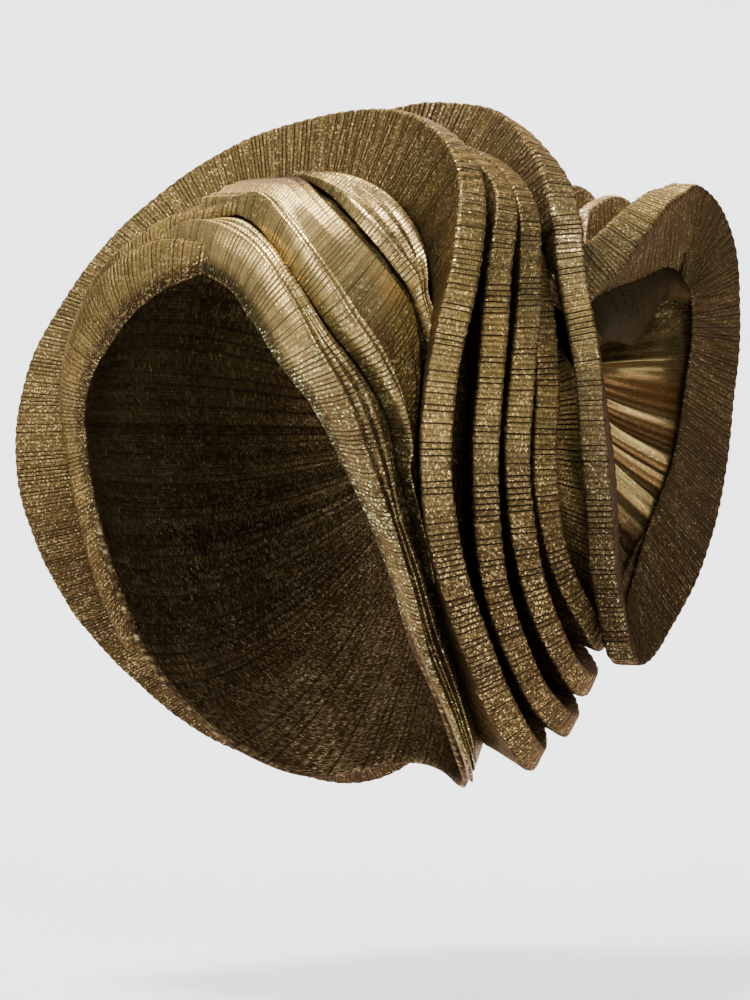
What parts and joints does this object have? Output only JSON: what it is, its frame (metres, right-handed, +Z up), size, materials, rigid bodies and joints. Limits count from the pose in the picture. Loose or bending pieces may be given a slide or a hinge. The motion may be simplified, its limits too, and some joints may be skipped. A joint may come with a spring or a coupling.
{
  "type": "head tie",
  "caption": "Gold striped brocade head tie in its worn form, with a brim-like halo, side pleats and a large side rosette.",
  "frame": {"origin": "inside of the crown, where the top of the head bears", "axes": "+X to the wearer's left, -Y to the wearer's front, +Z up"},
  "size_m": [0.2181, 0.2731, 0.2817],
  "materials": {
    "cap_cloth": "satin metallic thread with thin dark stripes",
    "roll_cloth": "satin metallic thread with thin dark stripes",
    "band_cloth": "satin metallic thread with thin dark stripes",
    "pleat_cloth": "satin metallic thread with thin dark stripes",
    "ring_cloth": "satin metallic thread with thin dark stripes",
    "centre_cloth": "satin metallic thread with thin dark stripes",
    "cone_cloth": "satin metallic thread with thin dark stripes",
    "tip_cloth": "satin metallic thread with thin dark stripes"
  },
  "bodies": {
    "root": {"cap": "cap_cloth", "right_hem_roll": "roll_cloth", "right_tuck_roll": "roll_cloth", "front_hem_band": "band_cloth", "front_wrap_band": "band_cloth", "crown_gather": "band_cloth", "halo_ring": "pleat_cloth", "side_pleat_1": "pleat_cloth", "side_pleat_2": "pleat_cloth", "side_pleat_3": "pleat_cloth", "rosette_ring": "ring_cloth", "rosette_bowl": "pleat_cloth", "rosette_centre": "centre_cloth", "rosette_cone": "cone_cloth", "fold_tip_1": "tip_cloth", "fold_tip_2": "tip_cloth"}
  },
  "joints": []
}
